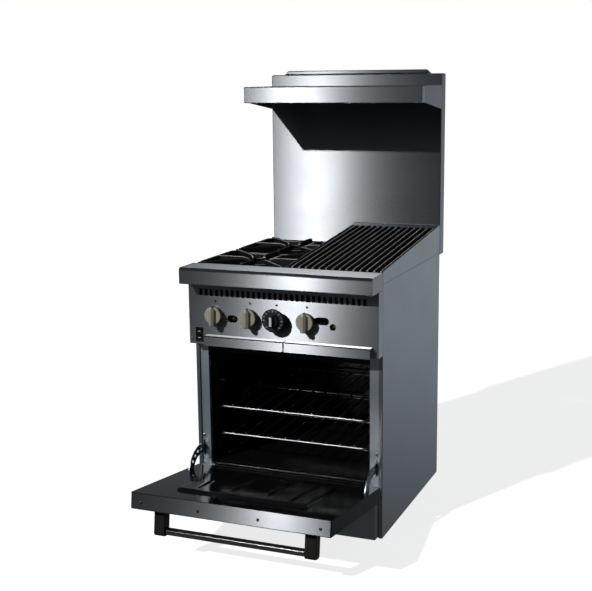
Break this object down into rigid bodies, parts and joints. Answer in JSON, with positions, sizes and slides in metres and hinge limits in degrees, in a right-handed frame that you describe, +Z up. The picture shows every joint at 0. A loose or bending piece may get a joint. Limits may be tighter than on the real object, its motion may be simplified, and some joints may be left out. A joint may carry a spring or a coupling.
{
  "type": "commercial gas range",
  "caption": "Free-standing stainless gas range with open burners, a sloped radiant broiler, an oven with a drop-down door, and a tall backguard with a shelf.",
  "frame": {"origin": "middle of the base pan's bottom face, on the floor", "axes": "+Z up, +X to the right seen from the front, the front faces -Y"},
  "size_m": [0.6096, 1.1126, 1.388],
  "materials": {
    "stainless": "fine upright brushed grain",
    "side_steel": "dull grey mill finish",
    "zinc_steel": "bare zinc coated sheet, satin",
    "black_iron": "rough seasoned casting",
    "black_enamel": "glossy porcelain enamel",
    "chrome_wire": "bright nickel chrome wire",
    "handle_tube": "polished tube",
    "knob_metal": "warm grey die-cast, satin",
    "dial_black": "smooth black phenolic",
    "switch_black": "smooth black",
    "brass": "machined",
    "bracket_black": "dark bronze paint, satin",
    "wool": "pressed mineral wool board"
  },
  "bodies": {
    "body": {"front_rail": "stainless", "control_panel": "stainless", "broiler_wall_left": "stainless", "broiler_wall_right": "stainless", "broiler_rear_ledge": "stainless", "riser_panel": "stainless", "riser_cap": "stainless", "shelf": "stainless", "shelf_end_left": "stainless", "shelf_end_right": "stainless", "side_panel_left": "side_steel", "side_panel_right": "side_steel", "kick_panel": "side_steel", "cooktop_pan": "side_steel", "back_panel": "zinc_steel", "base_pan": "zinc_steel", "oven_front_frame": "zinc_steel", "gas_manifold": "zinc_steel", "gas_inlet_pipe": "zinc_steel", "thermostat_body": "zinc_steel", "broiler_radiant": "zinc_steel", "riser_back": "zinc_steel", "oven_burner": "black_iron", "open_burner_front": "black_iron", "open_burner_rear": "black_iron", "broiler_burner": "black_iron", "oven_liner": "black_enamel", "oven_floor": "black_enamel", "rack_guide_left": "chrome_wire", "rack_guide_right": "chrome_wire", "switch_housing": "switch_black", "burner_valve_front": "brass", "burner_valve_rear": "brass", "broiler_valve": "brass", "pilot_valve_left": "brass", "pilot_valve_right": "brass"},
    "door": {"door_outer_panel": "stainless", "door_liner": "black_enamel", "door_insulation": "wool", "handle_bar": "handle_tube", "handle_bracket_left": "bracket_black", "handle_bracket_right": "bracket_black", "hinge_arm_left": "zinc_steel", "hinge_arm_right": "zinc_steel"},
    "rack_upper": {"oven_rack_upper": "chrome_wire"},
    "rack_lower": {"oven_rack_lower": "chrome_wire"},
    "tray_left": {"crumb_tray_left": "stainless"},
    "tray_right": {"crumb_tray_right": "stainless"},
    "knob_front": {"burner_knob_front": "knob_metal"},
    "knob_rear": {"burner_knob_rear": "knob_metal"},
    "knob_broiler": {"broiler_knob": "knob_metal"},
    "knob_thermostat": {"thermostat_knob": "dial_black"},
    "rocker_upper": {"switch_rocker_upper": "switch_black"},
    "rocker_lower": {"switch_rocker_lower": "switch_black"},
    "grate_front": {"burner_grate_front": "black_iron"},
    "grate_rear": {"burner_grate_rear": "black_iron"},
    "cap_front": {"burner_cap_front": "black_iron"},
    "cap_rear": {"burner_cap_rear": "black_iron"},
    "broiler_left": {"broiler_grate_left": "black_iron"},
    "broiler_right": {"broiler_grate_right": "black_iron"}
  },
  "joints": [
    {"name": "oven_door", "type": "hinge", "parent": "body", "child": "door", "pos_m": [0, -0.338, 0.1484], "axis": [1, 0, 0], "range_deg": [-82.5, 0]},
    {"name": "upper_rack_slide", "type": "slide", "parent": "body", "child": "rack_upper", "axis": [0, -1, 0], "range_m": [0, 0.32]},
    {"name": "lower_rack_slide", "type": "slide", "parent": "body", "child": "rack_lower", "axis": [0, -1, 0], "range_m": [0, 0.32]},
    {"name": "left_tray_slide", "type": "slide", "parent": "body", "child": "tray_left", "axis": [0, -1, 0], "range_m": [0, 0.42]},
    {"name": "right_tray_slide", "type": "slide", "parent": "body", "child": "tray_right", "axis": [0, -1, 0], "range_m": [0, 0.42]},
    {"name": "front_knob_turn", "type": "hinge", "parent": "body", "child": "knob_front", "pos_m": [-0.2138, -0.353, 0.662], "axis": [0, -1, 0], "range_deg": [0, 130]},
    {"name": "rear_knob_turn", "type": "hinge", "parent": "body", "child": "knob_rear", "pos_m": [-0.0995, -0.353, 0.662], "axis": [0, -1, 0], "range_deg": [0, 130]},
    {"name": "broiler_knob_turn", "type": "hinge", "parent": "body", "child": "knob_broiler", "pos_m": [0.0834, -0.353, 0.662], "axis": [0, -1, 0], "range_deg": [0, 130]},
    {"name": "thermostat_turn", "type": "hinge", "parent": "body", "child": "knob_thermostat", "pos_m": [-0.0134, -0.353, 0.662], "axis": [0, -1, 0], "range_deg": [0, 270]},
    {"name": "upper_rocker_tilt", "type": "hinge", "parent": "body", "child": "rocker_upper", "pos_m": [-0.271, -0.3528, 0.6065], "axis": [1, 0, 0], "range_deg": [-14, 0]},
    {"name": "lower_rocker_tilt", "type": "hinge", "parent": "body", "child": "rocker_lower", "pos_m": [-0.271, -0.3528, 0.5865], "axis": [1, 0, 0], "range_deg": [-14, 0]},
    {"name": "front_grate_lift", "type": "slide", "parent": "body", "child": "grate_front", "axis": [0, 0, 1], "range_m": [0, 0.15]},
    {"name": "rear_grate_lift", "type": "slide", "parent": "body", "child": "grate_rear", "axis": [0, 0, 1], "range_m": [0, 0.15]},
    {"name": "front_cap_lift", "type": "slide", "parent": "body", "child": "cap_front", "axis": [0, 0, 1], "range_m": [0, 0.006]},
    {"name": "rear_cap_lift", "type": "slide", "parent": "body", "child": "cap_rear", "axis": [0, 0, 1], "range_m": [0, 0.006]},
    {"name": "broiler_grate_left_lift", "type": "slide", "parent": "body", "child": "broiler_left", "axis": [0, 0, 1], "range_m": [0, 0.15]},
    {"name": "broiler_grate_right_lift", "type": "slide", "parent": "body", "child": "broiler_right", "axis": [0, 0, 1], "range_m": [0, 0.15]}
  ]
}
